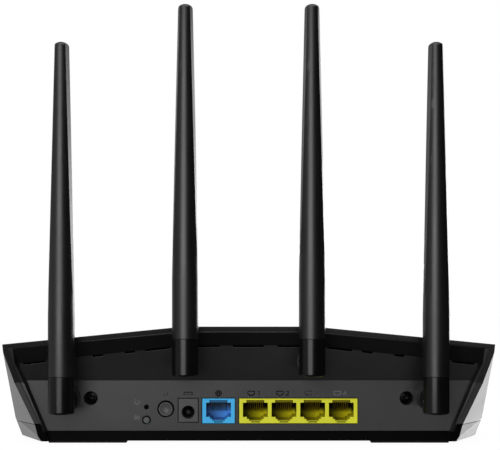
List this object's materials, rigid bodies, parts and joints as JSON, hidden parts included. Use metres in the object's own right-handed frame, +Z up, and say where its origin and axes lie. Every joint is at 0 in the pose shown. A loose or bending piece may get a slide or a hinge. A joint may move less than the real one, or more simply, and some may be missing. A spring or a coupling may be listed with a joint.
{
  "type": "wireless router",
  "caption": "Faceted desktop wireless router with a framed rear socket panel, push buttons, and antennas that swivel and fold.",
  "frame": {"origin": "centre of the whole object's footprint, on the surface that its feet stand on", "axes": "+X along the width, to the right when looking at the sockets; -Y towards the rear with the sockets and antennas; +Z up"},
  "size_m": [0.2366, 0.1474, 0.2096],
  "materials": {
    "shell": "satin black housing plastic, fine grain",
    "panel": "matt dark grey panel plastic",
    "rod": "matt dark grey antenna plastic",
    "gloss": "smooth black plastic",
    "cap": "satin grey button plastic",
    "blue": "blue socket plastic",
    "yellow": "yellow socket plastic",
    "rubber": "dark rubber",
    "steel": "bright plated steel",
    "dark_steel": "black zinc-plated steel",
    "gold": "gold-plated contacts",
    "board": "green solder mask",
    "chip": "moulded chip package",
    "sink": "bare aluminium",
    "clear": "clear light guide",
    "lamp": "white lamp package"
  },
  "bodies": {
    "housing": {"bottom_case": "shell", "top_cover": "shell", "rear_frame": "shell", "rear_panel": "panel", "rubber_feet": "rubber", "case_screws": "steel", "rear_screws": "dark_steel", "main_board": "board", "board_screws": "steel", "wan_jack": "blue", "lan_jacks": "yellow", "jack_contacts": "gold", "dc_jack": "panel", "dc_jack_pin": "steel", "power_switch": "chip", "wps_switch": "chip", "reset_switch": "chip", "main_chip": "chip", "heat_sink": "sink", "memory_chips": "chip", "rf_shields": "steel", "magnetics": "chip", "capacitors": "chip", "status_leds": "lamp", "light_guide": "clear", "antenna_leads": "gloss", "lead_plugs": "gold"},
    "power_key": {"power_button": "cap"},
    "wps_key": {"wps_button": "cap"},
    "reset_key": {"reset_button": "cap"},
    "swivel_1": {"swivel_arm_1": "panel", "swivel_clip_1": "steel"},
    "antenna_1": {"antenna_sleeve_1": "gloss", "antenna_rod_1": "rod", "hinge_pin_1": "steel"},
    "swivel_2": {"swivel_arm_2": "panel", "swivel_clip_2": "steel"},
    "antenna_2": {"antenna_sleeve_2": "gloss", "antenna_rod_2": "rod", "hinge_pin_2": "steel"},
    "swivel_3": {"swivel_arm_3": "panel", "swivel_clip_3": "steel"},
    "antenna_3": {"antenna_sleeve_3": "gloss", "antenna_rod_3": "rod", "hinge_pin_3": "steel"},
    "swivel_4": {"swivel_arm_4": "panel", "swivel_clip_4": "steel"},
    "antenna_4": {"antenna_sleeve_4": "gloss", "antenna_rod_4": "rod", "hinge_pin_4": "steel"}
  },
  "joints": [
    {"name": "antenna_1_swivel", "type": "hinge", "parent": "housing", "child": "swivel_1", "pos_m": [-0.0883, -0.05535, 0.0224], "axis": [0, 1, 0], "range_deg": [-90, 15]},
    {"name": "antenna_1_fold", "type": "hinge", "parent": "swivel_1", "child": "antenna_1", "pos_m": [-0.0883, -0.0674, 0.0224], "axis": [1, 0, 0], "range_deg": [0, 90]},
    {"name": "antenna_2_swivel", "type": "hinge", "parent": "housing", "child": "swivel_2", "pos_m": [-0.0299, -0.05535, 0.0402], "axis": [0, 1, 0], "range_deg": [-15, 15]},
    {"name": "antenna_2_fold", "type": "hinge", "parent": "swivel_2", "child": "antenna_2", "pos_m": [-0.0299, -0.0674, 0.0402], "axis": [1, 0, 0], "range_deg": [0, 90]},
    {"name": "antenna_3_swivel", "type": "hinge", "parent": "housing", "child": "swivel_3", "pos_m": [0.0299, -0.05535, 0.0402], "axis": [0, 1, 0], "range_deg": [-15, 15]},
    {"name": "antenna_3_fold", "type": "hinge", "parent": "swivel_3", "child": "antenna_3", "pos_m": [0.0299, -0.0674, 0.0402], "axis": [1, 0, 0], "range_deg": [0, 90]},
    {"name": "antenna_4_swivel", "type": "hinge", "parent": "housing", "child": "swivel_4", "pos_m": [0.0883, -0.05535, 0.0224], "axis": [0, 1, 0], "range_deg": [-15, 90]},
    {"name": "antenna_4_fold", "type": "hinge", "parent": "swivel_4", "child": "antenna_4", "pos_m": [0.0883, -0.0674, 0.0224], "axis": [1, 0, 0], "range_deg": [0, 90]},
    {"name": "power_press", "type": "slide", "parent": "housing", "child": "power_key", "axis": [0, 1, 0], "range_m": [0, 0.0015], "stiffness_N_per_m": 1500, "springref_m": -0.0005},
    {"name": "wps_press", "type": "slide", "parent": "housing", "child": "wps_key", "axis": [0, 1, 0], "range_m": [0, 0.0003], "stiffness_N_per_m": 4000, "springref_m": -0.0001},
    {"name": "reset_press", "type": "slide", "parent": "housing", "child": "reset_key", "axis": [0, 1, 0], "range_m": [0, 0.0003], "stiffness_N_per_m": 4000, "springref_m": -0.0001}
  ]
}
